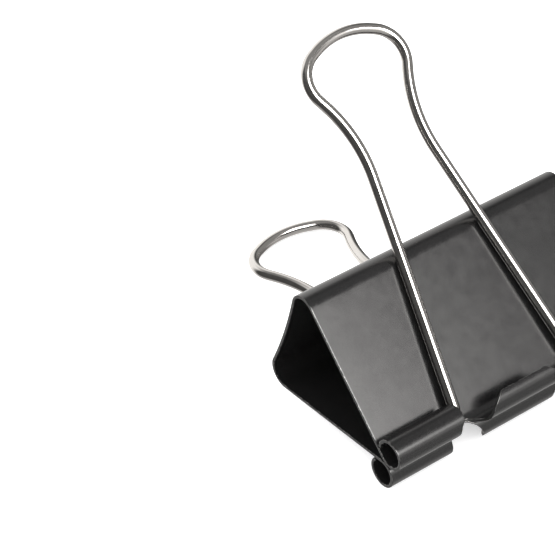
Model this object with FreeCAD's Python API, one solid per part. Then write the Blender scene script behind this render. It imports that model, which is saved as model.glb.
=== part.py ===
import FreeCAD, Part
import math
import os

# ---- driving values, mm and degrees ----
width = 51.0              # clip width along the jaw
sheet = 0.5               # spring steel thickness
roll_radius = 2.59        # outer radius of the rolled jaw edge
leaf_angle = 25.29        # each leaf from the mid-plane, closed
leaf_length = 24.66       # straight part of a leaf, roll to spine bend
bend_radius = 2.94        # outer radius of the two spine bends
spine_tilt = 5.4          # how far the arched spine leans in at each bend
jaw_gap = 0.1             # between the two rolls, closed
lip_end = -48.0           # where a tube's lip stops, nearly on the leaf
tab_end = 72.0            # where the middle tab's lip stops
flex_gap = 0.05           # leaf round end to spine seat

wire = 1.85               # handle wire diameter
handle_length = 60.72     # foot axis to wire centre at the tip
leg_half = 11.8           # leg to centre line, at the foot axis
foot_reach = 7.84         # turned-out foot, past the leg
neck_half = 5.22
neck_back = 15.63         # neck to tip
shoulder_half = 10.94
shoulder_back = 3.65      # shoulder to tip
tip_radius = 13.18
neck_bend = 23.15
shoulder_bend = 5.1
foot_bend = 1.4
leg_gap = 0.1             # leg to the tube ends it passes
tab_gap = 0.27            # leg to the root of the middle tab
rest_gap = 0.06           # folded handle to spine bend
front_play = 0.637        # how the loose feet lie in the rolls: share of the play, degrees from +y to +z
front_way = -25.5
back_play = 0.438
back_way = -118.1

# ---- sheet section: y runs from the jaw to the spine, z from the mid-plane to the front leaf ----
half = sheet / 2
roll_mid = roll_radius - half
roll_in = roll_radius - sheet
bend_mid = bend_radius - half
theta = math.radians(leaf_angle)
psi = math.radians(spine_tilt)


def at(centre, radius, angle):
    return (centre[0] + radius * math.cos(angle), centre[1] + radius * math.sin(angle))


roll_axis = (0.0, roll_radius + jaw_gap / 2)
roll_start = at(roll_axis, roll_mid, theta - math.pi / 2)
leaf_end = (roll_start[0] + leaf_length * math.cos(theta), roll_start[1] + leaf_length * math.sin(theta))
bend_axis = at(leaf_end, bend_mid, theta - math.pi / 2)
bend_start = theta + math.pi / 2
bend_half = (bend_start - psi) / 2
flex_axis = at(bend_axis, bend_mid, bend_half)
spine_start = at(bend_axis, bend_mid, -psi)
arch_radius = spine_start[1] / math.sin(psi)
arch_axis = at(spine_start, arch_radius, -psi)


def folded(foot):
    """Angle of a handle that lies on its spine bend, from where its feet are."""
    y, z = bend_axis[0] - foot[0], bend_axis[1] - foot[1]
    return math.atan2(z, y) + math.asin((bend_radius + wire / 2 + rest_gap) / math.hypot(y, z))


front_foot, back_foot = (at(roll_axis, play * (roll_in - wire / 2), math.radians(way))
                         for play, way in ((front_play, front_way), (back_play, back_way)))
# the clip lies on its back rolls and the tip of its back handle
tip = at(back_foot, handle_length, folded(back_foot))
lie = (math.atan2(tip[1] - roll_axis[1], tip[0])
       - math.asin((roll_radius - wire / 2) / math.hypot(tip[0], tip[1] - roll_axis[1])))
height = roll_axis[1] * math.cos(lie) + roll_radius
near_y = -roll_axis[1] * math.sin(lie) - roll_radius
far_y = tip[0] * math.cos(lie) + tip[1] * math.sin(lie) + wire / 2


def vec(x, point):
    return FreeCAD.Vector(x, point[0], point[1])


def arc(centre, radius, start, end):
    mid = (start + end) / 2
    return Part.Arc(*[vec(0, at(centre, radius, a)) for a in (start, mid, end)]).toShape()


def line(a, b):
    return Part.makeLine(vec(0, a), vec(0, b))


def cross(edges):
    """A closed section, swept across the clip's width."""
    face = Part.Face(Part.Wire(Part.__sortEdges__(edges)))
    face.translate(FreeCAD.Vector(-width / 2, 0, 0))
    return face.extrude(FreeCAD.Vector(width, 0, 0))


def turned(shape, degrees, centre):
    shape.rotate(vec(0, centre), FreeCAD.Vector(1, 0, 0), degrees)
    return shape


def placed(shape):
    """From the clip's own axes to the way it lies on a table."""
    turned(shape, math.degrees(lie), (0, 0))
    shape.translate(FreeCAD.Vector(0, -(near_y + far_y) / 2, height))
    return shape


def spread(table, angle):
    """Straight-line value of a table of (angle, value) rows."""
    for (a0, v0), (a1, v1) in zip(table, table[1:]):
        if a0 <= angle <= a1:
            return v0 + (v1 - v0) * (angle - a0) / (a1 - a0)
    return table[-1][1]


# ---- cut-outs of the rolled edge, as angles round the roll from the leaf's direction ----
lean = (leg_half - neck_half) / (handle_length - neck_back)
clear = leg_half + math.hypot(1, lean) * wire / 2 - lean * roll_in + leg_gap
tab_root = leg_half - wire / 2 - tab_gap
tube_edge = [(lip_end - 3, clear + 4.2), (-26, clear + 3.7), (-14, clear + 2.6), (-6, clear + 1.5),
             (6, clear + 0.6), (22, clear + 0.15), (40, clear), (92, clear), (108, clear + 0.3),
             (124, clear + 0.75), (150, clear + 0.9), (212, clear + 1.0), (230, clear + 0.5),
             (240, clear - 0.1), (248, clear - 1.0)]
tab_edge = [(lip_end - 3, 0.394), (tab_end - 4, 0.394), (tab_end, 0.418), (95, 0.538), (117, 0.623),
            (140, 0.666), (160, 0.683), (183, 0.716), (206, 0.774), (223, 0.839), (237, 0.904), (248, 1.0)]


def notch(side):
    """Tool for one notch, between the middle tab and a tube, over the roll's far edge to its lip."""
    sections = []
    first, last = lip_end - 3, 248
    steps = int((last - first) / 9) + 1
    for k in range(steps + 1):
        angle = first + (last - first) * k / steps
        inner, outer = spread(tab_edge, angle) * tab_root, spread(tube_edge, angle)
        ring = []
        for x, radius in ((inner, roll_in - 0.3), (outer, roll_in - 0.3),
                          (outer, roll_radius + 0.05), (inner, roll_radius + 0.05)):
            ring.append(vec(side * x, at(roll_axis, radius, math.radians(angle) + theta)))
        sections.append(Part.makePolygon(ring + ring[:1]))
    return Part.makeLoft(sections, True, True)


def make_leaf():
    lip = math.radians(lip_end) + theta
    start = theta - math.pi / 2 + 2 * math.pi
    up = (-math.sin(theta) * half, math.cos(theta) * half)
    down = (-up[0], -up[1])

    def shifted(point, by):
        return (point[0] + by[0], point[1] + by[1])

    edges = [arc(flex_axis, half, bend_half, bend_half - math.pi),
             arc(bend_axis, bend_radius, bend_half, bend_start),
             line(shifted(leaf_end, up), shifted(roll_start, up)),
             arc(roll_axis, roll_in, start, lip),
             line(at(roll_axis, roll_in, lip), at(roll_axis, roll_radius, lip)),
             arc(roll_axis, roll_radius, lip, start),
             line(shifted(roll_start, down), shifted(leaf_end, down)),
             arc(bend_axis, bend_mid - half, bend_start, bend_half)]
    leaf = cross(edges)
    # between the notches the lip is cut back to the middle tab
    first, last = (math.radians(a) + theta for a in (lip_end - 3, tab_end))
    low, high = roll_in - 0.3, roll_radius + 0.05
    ends = [line(at(roll_axis, low, a), at(roll_axis, high, a)) for a in (first, last)]
    rims = [arc(roll_axis, radius, first, last) for radius in (low, high)]
    sector = Part.Face(Part.Wire(Part.__sortEdges__(ends + rims)))
    reach = leg_half - wire / 2
    sector.translate(FreeCAD.Vector(-reach, 0, 0))
    leaf = leaf.cut(sector.extrude(FreeCAD.Vector(2 * reach, 0, 0)))
    return leaf.cut([notch(-1), notch(1)])


def make_spine():
    edges = []
    for radius, bend in ((arch_radius - half, bend_radius), (arch_radius + half, bend_mid - half)):
        edges.append(arc(arch_axis, radius, math.pi - psi, math.pi + psi))
        edges.append(arc(bend_axis, bend, -psi, bend_half))
        edges.append(arc((bend_axis[0], -bend_axis[1]), bend, psi, -bend_half))
    for side in (1, -1):
        centre = (bend_axis[0], side * bend_axis[1])
        edges.append(line(at(centre, bend_radius, side * bend_half),
                          at(centre, bend_mid - half, side * bend_half)))
    spine = cross(edges)
    for side in (1, -1):
        start = vec(-width / 2 - 1, (flex_axis[0], side * flex_axis[1]))
        seat = Part.makeCylinder(half + flex_gap, width + 2, start, FreeCAD.Vector(1, 0, 0))
        spine = spine.cut(seat)
    return spine


def rounded(points, radii):
    """Edges of a path with its corners rounded; points are (x, u) across and along the handle."""
    edges = []
    last = FreeCAD.Vector(points[0][0], points[0][1], 0)
    for k, radius in enumerate(radii, 1):
        before, corner, after = (FreeCAD.Vector(p[0], p[1], 0) for p in points[k - 1:k + 2])
        back = (before - corner).normalize()
        ahead = (after - corner).normalize()
        opening = back.getAngle(ahead)
        run = radius / math.tan(opening / 2)
        middle = corner + (back + ahead).normalize() * (radius / math.sin(opening / 2) - radius)
        start, end = corner + back * run, corner + ahead * run
        edges.append(Part.makeLine(last, start))
        edges.append(Part.Arc(start, middle, end).toShape())
        last = end
    return edges, last


def make_handle(foot):
    """One bent wire, drawn in the plane of x and y with its feet on the x axis, then folded."""
    tip_axis = (0.0, handle_length - tip_radius)
    rise = tip_radius - shoulder_back
    touch = math.atan2(rise, shoulder_half) + math.acos(tip_radius / math.hypot(shoulder_half, rise))
    joins = at(tip_axis, tip_radius, touch)
    foot_half = leg_half + foot_reach
    path = [(foot_half, 0), (leg_half, 0), (neck_half, handle_length - neck_back),
            (shoulder_half, handle_length - shoulder_back), joins]
    edges, last = rounded(path, [foot_bend, neck_bend, shoulder_bend])
    edges.append(Part.makeLine(last, FreeCAD.Vector(joins[0], joins[1], 0)))
    edges.append(Part.Arc(FreeCAD.Vector(joins[0], joins[1], 0), FreeCAD.Vector(0, handle_length, 0),
                          FreeCAD.Vector(-joins[0], joins[1], 0)).toShape())
    flip = FreeCAD.Matrix()
    flip.A11 = -1
    edges += [e.transformGeometry(flip) for e in edges[:-1]]
    path = Part.Wire(Part.__sortEdges__(edges))
    section = Part.Wire(Part.makeCircle(wire / 2, FreeCAD.Vector(foot_half, 0, 0), FreeCAD.Vector(1, 0, 0)))
    handle = path.makePipeShell([section], True, False)
    rims = [e for e in handle.Edges if e.Curve.TypeId == "Part::GeomCircle"
            and abs(abs(e.Curve.Center.x) - foot_half) < 1e-6]
    handle = handle.makeChamfer(wire * 0.12, rims)
    turned(handle, math.degrees(folded(foot)), (0, 0))
    handle.translate(vec(0, foot))
    return handle


os.makedirs("parts", exist_ok=True)
placed(make_spine()).exportStep("parts/spine.step")
placed(make_leaf()).exportStep("parts/front_leaf.step")
placed(make_handle(front_foot)).exportStep("parts/front_handle.step")
for name, back in (("leaf", make_leaf()), ("handle", make_handle(back_foot))):
    back.rotate(FreeCAD.Vector(0, 0, 0), FreeCAD.Vector(0, 1, 0), 180)
    placed(back).exportStep("parts/back_%s.step" % name)
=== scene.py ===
import bmesh
import bpy
import math
from mathutils import Matrix, Vector


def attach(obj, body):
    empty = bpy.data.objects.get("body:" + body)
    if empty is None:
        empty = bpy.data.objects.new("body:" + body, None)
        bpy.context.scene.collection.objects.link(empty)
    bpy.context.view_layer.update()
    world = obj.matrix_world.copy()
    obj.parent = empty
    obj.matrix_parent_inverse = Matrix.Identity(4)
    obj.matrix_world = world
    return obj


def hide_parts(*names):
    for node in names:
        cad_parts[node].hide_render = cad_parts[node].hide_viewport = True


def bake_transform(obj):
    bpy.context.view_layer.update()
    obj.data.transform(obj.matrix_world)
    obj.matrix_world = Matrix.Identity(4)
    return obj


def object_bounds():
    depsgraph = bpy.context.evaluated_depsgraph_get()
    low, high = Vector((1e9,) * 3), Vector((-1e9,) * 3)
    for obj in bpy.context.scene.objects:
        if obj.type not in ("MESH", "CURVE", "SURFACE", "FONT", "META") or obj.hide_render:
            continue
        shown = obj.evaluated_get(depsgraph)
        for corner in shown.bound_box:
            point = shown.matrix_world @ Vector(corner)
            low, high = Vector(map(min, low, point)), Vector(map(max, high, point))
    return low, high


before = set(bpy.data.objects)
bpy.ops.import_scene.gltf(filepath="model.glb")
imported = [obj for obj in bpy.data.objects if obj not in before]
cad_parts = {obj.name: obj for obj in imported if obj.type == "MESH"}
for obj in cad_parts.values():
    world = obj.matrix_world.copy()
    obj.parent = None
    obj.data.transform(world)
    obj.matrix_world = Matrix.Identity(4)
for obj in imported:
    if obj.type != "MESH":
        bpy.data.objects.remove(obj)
cad_box = [list(v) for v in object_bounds()]
MM = 0.001

# ---- sizes, mm and radians: the CAD's own driving values ----
WIDTH, SHEET = 51.0, 0.5
ROLL, BEND = 2.59, 2.94
THETA, PSI = math.radians(25.29), math.radians(5.4)
LEAF, JAW_GAP = 24.66, 0.1
LIP, TAB_LIP = -48.0, 72.0
WIRE, HANDLE = 1.85, 60.72
LEG = 11.8
FOOT = LEG + 7.84
NECK, NECK_AT = 5.22, HANDLE - 15.63
SHOULDER, SHOULDER_AT = 10.94, HANDLE - 3.65
TIP = 13.18
NECK_BEND, SHOULDER_BEND, FOOT_BEND = 23.15, 5.1, 1.4
LEG_GAP, TAB_GAP, REST_GAP = 0.1, 0.27, 0.06
# where the feet rest in their tubes: share of their room off the tube's axis, and which way
FRONT_PLAY, FRONT_WAY = 0.637, math.radians(-25.5)
BACK_PLAY, BACK_WAY = 0.438, math.radians(-118.1)

# ---- sizes of the visible meshes alone, mm and counts ----
RIM_ROUND = 0.1                      # rounding of the sheared edges
RIM_GUARD = 0.2                      # width of the faces beside them
RIM_ANGLE = 1.2                      # radians: an edge of a sheared face that turns by more is rounded
CREASE = math.radians(50)            # edges that turn by more are shaded sharp
SLIVER, SLIVER_SHARE = 0.03, 0.76    # overlap at the spine's middle, and its share of the thickness
SPINE_ROWS, BEND_ROWS, LEAF_ROWS = 12, 40, 24
ROLL_FROM, CUT_FROM = 270, 248       # degrees round the roll where it starts, and where its notches start
WHOLE_ROWS, ROLL_STEP = 6, 2         # rows between those two, and degrees from row to row after them
ACROSS = 25                          # places across each tube and across the tab
WIRE_SIDES = 28
RUN_STEP, TURN_STEP = 1.2, 3         # mm and degrees from ring to ring of the wire
LAST_STEPS, TIP_STEPS = 3, 20        # rings of its last straight run, and of a quarter of its loop's tip
CUT_ENDS = ((0.04, 0.0), (0.1, 0.018), (0.2, 0.066))    # share drawn in, and mm past the end
EDGE_SLOT, RIM_SLOT = 1, 2           # places in a sheet's list of materials

half = SHEET / 2
roll_mid, bend_mid = ROLL - half, BEND - half


def polar(centre, radius, angle):
    return (centre[0] + radius * math.cos(angle), centre[1] + radius * math.sin(angle))


roll_axis = (0.0, ROLL + JAW_GAP / 2)
roll_start = polar(roll_axis, roll_mid, THETA - math.pi / 2)
leaf_end = (roll_start[0] + LEAF * math.cos(THETA), roll_start[1] + LEAF * math.sin(THETA))
bend_axis = polar(leaf_end, bend_mid, THETA - math.pi / 2)
bend_start = THETA + math.pi / 2
spine_start = polar(bend_axis, bend_mid, -PSI)
arch = spine_start[1] / math.sin(PSI)
arch_axis = polar(spine_start, arch, -PSI)


def folded(foot):
    """Angle of a handle that lies on its spine bend, from where its feet are."""
    y, z = bend_axis[0] - foot[0], bend_axis[1] - foot[1]
    return math.atan2(z, y) + math.asin((BEND + WIRE / 2 + REST_GAP) / math.hypot(y, z))


front_foot = polar(roll_axis, FRONT_PLAY * (ROLL - SHEET - WIRE / 2), FRONT_WAY)
back_foot = polar(roll_axis, BACK_PLAY * (ROLL - SHEET - WIRE / 2), BACK_WAY)
# the clip lies on its back tubes and the tip of its back handle
tip = polar(back_foot, HANDLE, folded(back_foot))
lie = (math.atan2(tip[1] - roll_axis[1], tip[0])
       - math.asin((ROLL - WIRE / 2) / math.hypot(tip[0], tip[1] - roll_axis[1])))
rear = tip[0] * math.cos(lie) + tip[1] * math.sin(lie) + WIRE / 2
# clip axes (x across, y jaw to spine, z up from the mid-plane) to the way it lies on the table
TO_ROW = (Matrix.Translation((0, cad_box[1][1] - rear * MM, (roll_axis[1] * math.cos(lie) + ROLL) * MM))
          @ Matrix.Rotation(lie, 4, "X") @ Matrix.Scale(MM, 4))
OVER = Matrix.Rotation(math.pi, 4, "Y")      # front half to back half


# ---- materials ----
def material(name):
    m = bpy.data.materials.new(name)
    m.use_nodes = True
    tree = m.node_tree
    tree.nodes.clear()
    out = tree.nodes.new("ShaderNodeOutputMaterial")
    shader = tree.nodes.new("ShaderNodeBsdfPrincipled")
    tree.links.new(shader.outputs[0], out.inputs[0])

    def node(kind, values=(), **settings):
        n = tree.nodes.new("ShaderNode" + kind)
        for k, v in settings.items():
            setattr(n, k, v)
        for k, v in dict(values).items():
            n.inputs[k].default_value = v
        return n

    return m, shader, node, tree.links.new


def mapped(node, link, low, high, source, lower, upper):
    n = node("MapRange", {"From Min": low, "From Max": high, "To Min": lower, "To Max": upper})
    link(source, n.inputs["Value"])
    return n.outputs[0]


def noise(node, link, scale, detail=2.0, roughness=0.5):
    n = node("TexNoise", {"Scale": scale, "Detail": detail, "Roughness": roughness})
    link(node("TexCoord").outputs["Object"], n.inputs["Vector"])
    return n.outputs[0]


def bump(node, link, height, strength, distance, below=None):
    n = node("Bump", {"Strength": strength, "Distance": distance})
    link(height, n.inputs["Height"])
    if below:
        link(below, n.inputs["Normal"])
    return n.outputs[0]


def tones(node, link, fac, dark, light):
    n = node("MixRGB")
    n.inputs["Color1"].default_value, n.inputs["Color2"].default_value = (*dark, 1), (*light, 1)
    link(fac, n.inputs["Fac"])
    return n.outputs[0]


def lacquer():
    """Baked black lacquer on spring steel: faint orange peel, slow waves and dust-fine mottling."""
    m, shader, node, link = material("black_lacquer")
    peel = bump(node, link, noise(node, link, 1400.0), 0.06, 0.00003)
    wave = bump(node, link, noise(node, link, 90.0, 1.0), 0.05, 0.0002, peel)
    link(wave, shader.inputs["Normal"])
    spots = noise(node, link, 520.0, 5.0, 0.65)
    link(mapped(node, link, 0.35, 0.7, spots, 0.19, 0.24), shader.inputs["Roughness"])
    link(tones(node, link, spots, (0.0055, 0.0055, 0.0058), (0.009, 0.0088, 0.0085)),
         shader.inputs["Base Color"])
    shader.inputs["Specular IOR Level"].default_value = 0.8
    return m


def cut_edge(name, steel, metal, rough):
    """A sheared edge or its worn rim: thin lacquer, with steel showing through in places."""
    m, shader, node, link = material(name)
    grain = noise(node, link, 1800.0, 4.0, 0.6)
    link(bump(node, link, grain, 0.3, 0.00004), shader.inputs["Normal"])
    link(tones(node, link, mapped(node, link, 0.45, 0.62, grain, 0.0, 1.0), (0.008, 0.008, 0.008),
               (steel, steel * 0.98, steel * 0.95)), shader.inputs["Base Color"])
    link(mapped(node, link, 0.4, 0.65, grain, metal / 3, metal), shader.inputs["Metallic"])
    shader.inputs["Roughness"].default_value = rough
    return m


def plated():
    """Nickel-plated spring wire: bright, slightly warm, with an uneven gloss."""
    m, shader, node, link = material("nickel_wire")
    spots = noise(node, link, 700.0, 4.0, 0.6)
    link(mapped(node, link, 0.3, 0.75, spots, 0.09, 0.17), shader.inputs["Roughness"])
    link(tones(node, link, spots, (0.60, 0.575, 0.55), (0.68, 0.665, 0.645)), shader.inputs["Base Color"])
    link(bump(node, link, spots, 0.05, 0.00004), shader.inputs["Normal"])
    shader.inputs["Metallic"].default_value = 1.0
    return m


BLACK, CHROME = lacquer(), plated()
EDGE, RIM = cut_edge("cut_edge", 0.02, 0.1, 0.4), cut_edge("worn_rim", 0.62, 1.0, 0.17)


# ---- the sheet ----
LEAN = (LEG - NECK) / NECK_AT
CLEAR = LEG + math.hypot(1, LEAN) * WIRE / 2 - LEAN * (ROLL - SHEET) + LEG_GAP
TAB_ROOT = LEG - WIRE / 2 - TAB_GAP
# (degrees round the roll, mm past CLEAR) of a tube's inner end
TUBE_EDGE = [(LIP, 4.2), (-26, 3.7), (-14, 2.6), (-6, 1.5), (6, 0.6), (22, 0.15), (40, 0.0), (92, 0.0),
             (108, 0.3), (124, 0.75), (150, 0.9), (212, 1.0), (230, 0.5), (240, -0.1), (CUT_FROM, -1.0)]
# (degrees round the roll, share of TAB_ROOT) of the tab's half width
TAB_EDGE = [(TAB_LIP, 0.418), (95, 0.538), (117, 0.623), (140, 0.666), (160, 0.683),
            (183, 0.716), (206, 0.774), (223, 0.839), (237, 0.904), (CUT_FROM, 1.0)]


def smooth_at(table, x):
    """Smooth curve through a table of (x, value) rows."""
    for i in range(len(table) - 1):
        (x0, v0), (x1, v1) = table[i], table[i + 1]
        if x <= x1:
            before = table[i - 1] if i else (2 * x0 - x1, 2 * v0 - v1)
            after = table[i + 2] if i + 2 < len(table) else (2 * x1 - x0, 2 * v1 - v0)
            m0 = (v1 - before[1]) / (x1 - before[0]) * (x1 - x0)
            m1 = (after[1] - v0) / (after[0] - x0) * (x1 - x0)
            u = (x - x0) / (x1 - x0)
            return ((2 * u**3 - 3 * u**2 + 1) * v0 + (u**3 - 2 * u**2 + u) * m0
                    + (3 * u**2 - 2 * u**3) * v1 + (u**3 - u**2) * m1)
    return table[-1][1]


def section():
    """Rows down half the sheet: (mid-surface point, outer face's normal, degrees round the roll or None)."""
    # a sliver past the middle, thinner than the sheet, closes the joint between the two halves
    a = math.pi + SLIVER / arch
    rows = [(polar(arch_axis, arch, a), (-SLIVER_SHARE * math.cos(a), -SLIVER_SHARE * math.sin(a)), None)]
    for k in range(SPINE_ROWS + 1):
        a = math.pi - PSI * k / SPINE_ROWS
        rows.append((polar(arch_axis, arch, a), (-math.cos(a), -math.sin(a)), None))
    for k in range(1, BEND_ROWS + 1):
        a = -PSI + (bend_start + PSI) * k / BEND_ROWS
        rows.append((polar(bend_axis, bend_mid, a), (math.cos(a), math.sin(a)), None))
    out = (math.cos(bend_start), math.sin(bend_start))
    for k in range(1, LEAF_ROWS):
        t = 1 - k / LEAF_ROWS
        rows.append(((roll_start[0] + (leaf_end[0] - roll_start[0]) * t,
                      roll_start[1] + (leaf_end[1] - roll_start[1]) * t), out, None))
    angles = [ROLL_FROM - (ROLL_FROM - CUT_FROM) * k / WHOLE_ROWS for k in range(WHOLE_ROWS)]
    angles += [CUT_FROM - ROLL_STEP * k for k in range(int((CUT_FROM - LIP) / ROLL_STEP) + 1)]
    for z in angles:
        a = math.radians(z) + THETA
        rows.append((polar(roll_axis, roll_mid, a), (-math.cos(a), -math.sin(a)), z))
    return rows


def spread(a, b):
    """Places from a to b, one of them close to each end, which keeps the rounded rim narrow."""
    inner = ACROSS - 3
    return [a, a + RIM_GUARD] + [a + (b - a) * k / inner for k in range(1, inner)] + [b - RIM_GUARD, b]


def columns(zeta):
    """Places across the sheet where it is whole or cut: tubes, notches and tab keep their own columns."""
    z = CUT_FROM if zeta is None or zeta > CUT_FROM else zeta
    tube, tab = CLEAR + smooth_at(TUBE_EDGE, z), smooth_at(TAB_EDGE, max(z, TAB_LIP)) * TAB_ROOT
    right, middle = spread(tube, WIDTH / 2), spread(-tab, tab)
    return [-x for x in reversed(right)] + middle + right


def half_sheet(name):
    rows = section()
    mesh = bmesh.new()
    layers = []
    for side in (1, -1):
        grid = []
        for point, normal, zeta in rows:
            y, z = point[0] + side * half * normal[0], point[1] + side * half * normal[1]
            grid.append([mesh.verts.new((x, y, z)) for x in columns(zeta)])
        layers.append(grid)

    def solid(i, j):
        """Whether the sheet has metal between rows i and i + 1 and between places j and j + 1."""
        zeta = rows[i + 1][2]
        if zeta is None or zeta >= CUT_FROM:
            return True
        if j in (ACROSS - 1, 2 * ACROSS - 1):
            return False
        return not ACROSS <= j < 2 * ACROSS - 1 or zeta >= TAB_LIP

    ni, nj = len(rows) - 1, len(layers[0][0]) - 1
    kept = {(i, j) for i in range(ni) for j in range(nj) if solid(i, j)}
    out, inn = layers
    for i, j in kept:
        mesh.faces.new((out[i][j], out[i + 1][j], out[i + 1][j + 1], out[i][j + 1]))
        mesh.faces.new((inn[i][j], inn[i][j + 1], inn[i + 1][j + 1], inn[i + 1][j]))
        for (di, dj), (p, q) in (((-1, 0), ((i, j), (i, j + 1))), ((1, 0), ((i + 1, j + 1), (i + 1, j))),
                                 ((0, -1), ((i + 1, j), (i, j))), ((0, 1), ((i, j + 1), (i + 1, j + 1)))):
            if (i + di, j + dj) not in kept:
                f = mesh.faces.new((out[p[0]][p[1]], out[q[0]][q[1]], inn[q[0]][q[1]], inn[p[0]][p[1]]))
                f.material_index = EDGE_SLOT
                f.tag = i + di >= 0      # a sheared edge, not the joint at the spine's middle
    bmesh.ops.delete(mesh, geom=[v for v in mesh.verts if not v.link_faces], context="VERTS")
    bmesh.ops.recalc_face_normals(mesh, faces=mesh.faces)
    rim = [e for e in mesh.edges if len(e.link_faces) == 2 and any(f.tag for f in e.link_faces)
           and e.calc_face_angle(0) > RIM_ANGLE]
    bmesh.ops.bevel(mesh, geom=rim, offset=RIM_ROUND, segments=3, profile=0.5, affect="EDGES",
                    clamp_overlap=True, material=RIM_SLOT)
    for f in mesh.faces:
        f.smooth = True
    data = bpy.data.meshes.new(name)
    mesh.to_mesh(data)
    mesh.free()
    obj = bpy.data.objects.new(name, data)
    bpy.context.scene.collection.objects.link(obj)
    for look in (BLACK, EDGE, RIM):
        data.materials.append(look)
    return obj


def place(obj, back):
    obj.data.transform(TO_ROW @ OVER if back else TO_ROW)
    obj.data.update()


def sharp_by_angle(obj, limit):
    mesh = bmesh.new()
    mesh.from_mesh(obj.data)
    for e in mesh.edges:
        e.smooth = len(e.link_faces) == 2 and e.calc_face_angle(0) < limit
    mesh.to_mesh(obj.data)
    mesh.free()


for back in (False, True):
    side = "back" if back else "front"
    skin = half_sheet(f"{side}_sheet")
    sharp_by_angle(skin, CREASE)
    place(skin, back)
    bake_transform(skin)
    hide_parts(f"{side}_leaf", *([] if back else ["spine"]))


# ---- the handles ----
def bent_wire():
    """Points down the wire's middle, (x, y), with its feet on the x axis."""
    tip_axis = (0.0, HANDLE - TIP)
    away = math.hypot(SHOULDER, SHOULDER_AT - tip_axis[1])
    touch = math.atan2(SHOULDER_AT - tip_axis[1], SHOULDER) + math.acos(TIP / away)
    corners = [Vector(p) for p in ((FOOT, 0), (LEG, 0), (NECK, NECK_AT), (SHOULDER, SHOULDER_AT),
                                   polar(tip_axis, TIP, touch))]
    path = []
    last = corners[0]
    for k, radius in enumerate((FOOT_BEND, NECK_BEND, SHOULDER_BEND), 1):
        to_last = (corners[k - 1] - corners[k]).normalized()
        to_next = (corners[k + 1] - corners[k]).normalized()
        opening = to_last.angle(to_next)
        run = radius / math.tan(opening / 2)
        centre = corners[k] + (to_last + to_next).normalized() * (radius / math.sin(opening / 2))
        start = corners[k] + to_last * run
        count = max(2, int((start - last).length / RUN_STEP))
        path += [last.lerp(start, t / count) for t in range(count)]
        turn = math.pi - opening
        a0 = math.atan2(start.y - centre.y, start.x - centre.x)
        sense = 1 if to_last.cross(to_next) < 0 else -1
        steps = max(6, int(math.degrees(turn) / TURN_STEP))
        path += [Vector(polar(centre, radius, a0 + sense * turn * t / steps)) for t in range(steps)]
        last = corners[k] + to_next * run
    path += [last.lerp(corners[-1], t / LAST_STEPS) for t in range(LAST_STEPS)]
    path += [Vector(polar(tip_axis, TIP, touch + (math.pi / 2 - touch) * t / TIP_STEPS))
             for t in range(TIP_STEPS + 1)]
    return path + [Vector((-p.x, p.y)) for p in reversed(path[:-1])]


def join_rings(mesh, a, b):
    for k in range(WIRE_SIDES):
        following = (k + 1) % WIRE_SIDES
        mesh.faces.new((a[k], a[following], b[following], b[k]))


def handle(name, foot):
    path = bent_wire()
    mesh = bmesh.new()
    rings = []
    turns = [2 * math.pi * k / WIRE_SIDES for k in range(WIRE_SIDES)]
    for i, p in enumerate(path):
        d = (path[min(i + 1, len(path) - 1)] - path[max(i - 1, 0)]).normalized()
        across = Vector((-d.y, d.x)) * WIRE / 2
        rings.append([mesh.verts.new((p.x + across.x * math.cos(a), p.y + across.y * math.cos(a),
                                      WIRE / 2 * math.sin(a))) for a in turns])
    # rounded ends of the cut wire
    for ring, p, sense in ((rings[0], path[0], 1), (rings[-1], path[-1], -1)):
        before = ring
        for inset, reach in CUT_ENDS:
            step = [mesh.verts.new((p.x + sense * reach, v.co.y * (1 - inset), v.co.z * (1 - inset)))
                    for v in ring]
            join_rings(mesh, before, step)
            before = step
        mesh.faces.new(before)
    for a, b in zip(rings, rings[1:]):
        join_rings(mesh, a, b)
    bmesh.ops.recalc_face_normals(mesh, faces=mesh.faces)
    for f in mesh.faces:
        f.smooth = True
    data = bpy.data.meshes.new(name)
    mesh.to_mesh(data)
    mesh.free()
    data.materials.append(CHROME)
    obj = bpy.data.objects.new(name, data)
    bpy.context.scene.collection.objects.link(obj)
    data.transform(Matrix.Translation((0, foot[0], foot[1])) @ Matrix.Rotation(folded(foot), 4, "X"))
    return obj


for back in (False, True):
    side = "back" if back else "front"
    wire = handle(f"{side}_wire", back_foot if back else front_foot)
    place(wire, back)
    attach(wire, f"{side}_handle")
    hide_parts(f"{side}_handle")


# ---- stage, light and camera ----
def stage_material():
    m, shader, _, _ = material("white_sweep")
    shader.inputs["Base Color"].default_value = (0.92, 0.92, 0.92, 1)
    shader.inputs["Roughness"].default_value = 0.9
    shader.inputs["Specular IOR Level"].default_value = 0.0
    shader.inputs["Emission Color"].default_value = (1, 1, 1, 1)
    shader.inputs["Emission Strength"].default_value = 0.5
    return m


FLOOR_REACH, FLOOR_Z = 3, -0.0002    # m
floor_corners = [(FLOOR_REACH * i, FLOOR_REACH * j, FLOOR_Z) for i, j in ((-1, -1), (1, -1), (1, 1), (-1, 1))]
floor_mesh = bpy.data.meshes.new("floor")
floor_mesh.from_pydata(floor_corners, [], [(0, 1, 2, 3)])
floor_mesh.materials.append(stage_material())
floor = bpy.data.objects.new("floor", floor_mesh)
floor.visible_glossy = False         # the world's table panel stands for it in gloss
bpy.context.scene.collection.objects.link(floor)

# a plain studio: white all round for soft light, and in gloss a dark room with a tall softbox in front,
# a white wall behind and a white table below
world = bpy.data.worlds.new("studio")
world.use_nodes = True
tree = world.node_tree
tree.nodes.clear()


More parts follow.
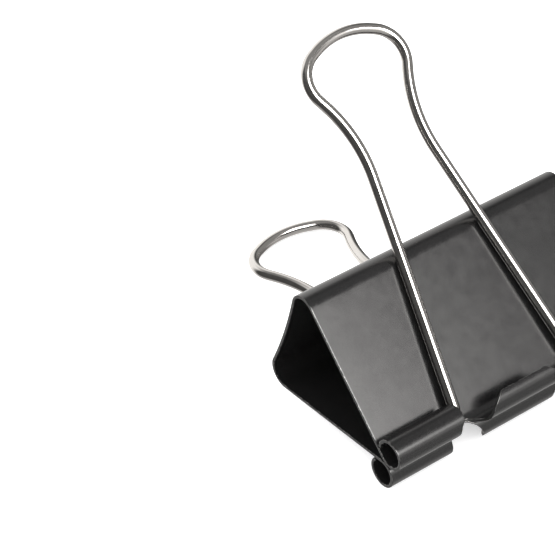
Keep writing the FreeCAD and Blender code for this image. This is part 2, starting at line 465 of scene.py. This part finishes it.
def sky(kind, *sources, **settings):
    """A node of the world's tree, its inputs linked or set in order."""
    n = tree.nodes.new("ShaderNode" + kind)
    for k, v in settings.items():
        setattr(n, k, v)
    for k, v in enumerate(sources):
        if isinstance(v, bpy.types.NodeSocket):
            tree.links.new(v, n.inputs[k])
        elif v is not None:
            n.inputs[k].default_value = v
    return n.outputs[0]


def edge(value, low, high):
    """0 at low and 1 at high, smoothly; low may be above high."""
    return sky("MapRange", value, low, high, 0.0, 1.0, interpolation_type="SMOOTHSTEP")


def both(a, b):
    return sky("Math", a, b, operation="MULTIPLY")


def degrees(value):
    return sky("Math", value, operation="DEGREES")


where = tree.nodes.new("ShaderNodeTexCoord")
axes = tree.nodes.new("ShaderNodeSeparateXYZ")
tree.links.new(where.outputs["Generated"], axes.inputs[0])
x, y, z = axes.outputs
# turn: 0 to the front (-Y), 90 to the right, 180 behind; rise: 0 level, 90 overhead
turn = degrees(sky("Math", x, sky("Math", y, -1.0, operation="MULTIPLY"), operation="ARCTAN2"))
rise = degrees(sky("Math", z, operation="ARCSINE"))
behind = sky("Math", turn, operation="ABSOLUTE")
glow = 0.07      # the dark room
# each panel: degrees turned from and to, softness of those edges, the same in rise, and strength
for turn_from, turn_to, turn_soft, rise_from, rise_to, rise_soft, strength, about in (
        (-12, 30.5, 4, 23, 56, 8, 10.0, turn),      # softbox
        (-12, 39, 6, 2, 37, 4, 1.0, turn),          # its spill on the wall round it
        (-30, 60, 14, -36, 6, 12, 0.45, turn),      # front of the table
        (38, 110, 14, -20, 60, 16, 0.22, turn),     # grey wall on the right
        (138, 200, 14, -45, 50, 14, 1.25, behind),  # white wall behind
        (-200, 200, 1, -95, -42, 16, 0.6, turn),    # table
        (-200, 200, 1, 58, 95, 12, 0.22, turn)):    # ceiling
    across = both(edge(about, turn_from - turn_soft, turn_from + turn_soft),
                  edge(about, turn_to + turn_soft, turn_to - turn_soft))
    upward = both(edge(rise, rise_from - rise_soft, rise_from + rise_soft),
                  edge(rise, rise_to + rise_soft, rise_to - rise_soft))
    glow = sky("Math", both(both(across, upward), strength), glow, operation="ADD")
paths = tree.nodes.new("ShaderNodeLightPath")
gloss, soft = (tree.nodes.new("ShaderNodeBackground") for _ in range(2))
tree.links.new(glow, gloss.inputs["Strength"])
gloss.inputs["Color"].default_value = (1.0, 0.985, 0.965, 1)
soft.inputs["Color"].default_value = (1, 1, 1, 1)
soft.inputs["Strength"].default_value = 1.9
mix = tree.nodes.new("ShaderNodeMixShader")
tree.links.new(paths.outputs["Is Glossy Ray"], mix.inputs[0])
tree.links.new(soft.outputs[0], mix.inputs[1])
tree.links.new(gloss.outputs[0], mix.inputs[2])
tree.links.new(mix.outputs[0], tree.nodes.new("ShaderNodeOutputWorld").inputs[0])
bpy.context.scene.world = world

camera_data = bpy.data.cameras.new("camera")
camera_data.sensor_width, camera_data.lens = 36.0, 135.58894    # mm
camera_data.clip_start, camera_data.clip_end = 0.01, 20
camera = bpy.data.objects.new("camera", camera_data)
right = Vector((0.80380598, -0.5932523, -0.04413226))
up = Vector((0.39174088, 0.47202421, 0.7897672))
camera.matrix_world = (Matrix.Translation((-0.16851479, -0.21168666, 0.2205674))
                       @ Matrix((right, up, right.cross(up))).transposed().to_4x4())
bpy.context.scene.collection.objects.link(camera)
bpy.context.scene.camera = camera

view = bpy.context.scene.view_settings
view.view_transform, view.look, view.exposure, view.gamma = "Standard", "None", 0.0, 1.0
